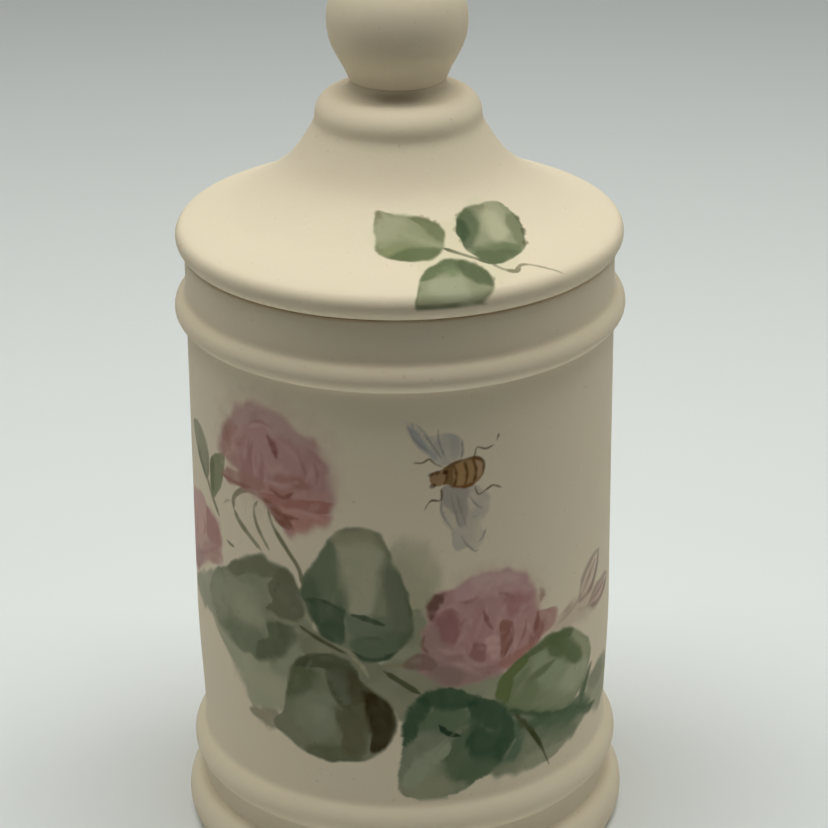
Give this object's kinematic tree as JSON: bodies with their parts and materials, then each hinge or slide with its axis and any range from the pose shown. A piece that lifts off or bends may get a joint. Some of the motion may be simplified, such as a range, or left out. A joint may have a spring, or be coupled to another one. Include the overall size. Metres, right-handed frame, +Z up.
{
  "type": "powder jar",
  "caption": "Covered powder jar: a straight cylindrical unglazed porcelain jar with moulded beads, and a flared lift-off lid with a ball finial.",
  "frame": {"origin": "centre of the ring that the jar stands on, level with the surface under it", "axes": "+Z up along the axis that every piece is turned about; the painted front faces -Y and +X is to its right"},
  "size_m": [0.0812, 0.0812, 0.1643],
  "materials": {
    "painted_bisque": "matt cream bisque, hand painted with flowers and leaves in thin matt colour",
    "painted_bisque_lid": "matt cream bisque, with one spray of painted leaves",
    "plain_bisque": "plain matt cream bisque"
  },
  "bodies": {
    "jar": {"jar_body": "painted_bisque"},
    "cover": {"lid": "painted_bisque_lid", "ball_finial": "plain_bisque"}
  },
  "joints": [
    {"name": "lid_lift", "type": "slide", "parent": "jar", "child": "cover", "axis": [0, 0, 1], "range_m": [0, 0.08]}
  ]
}
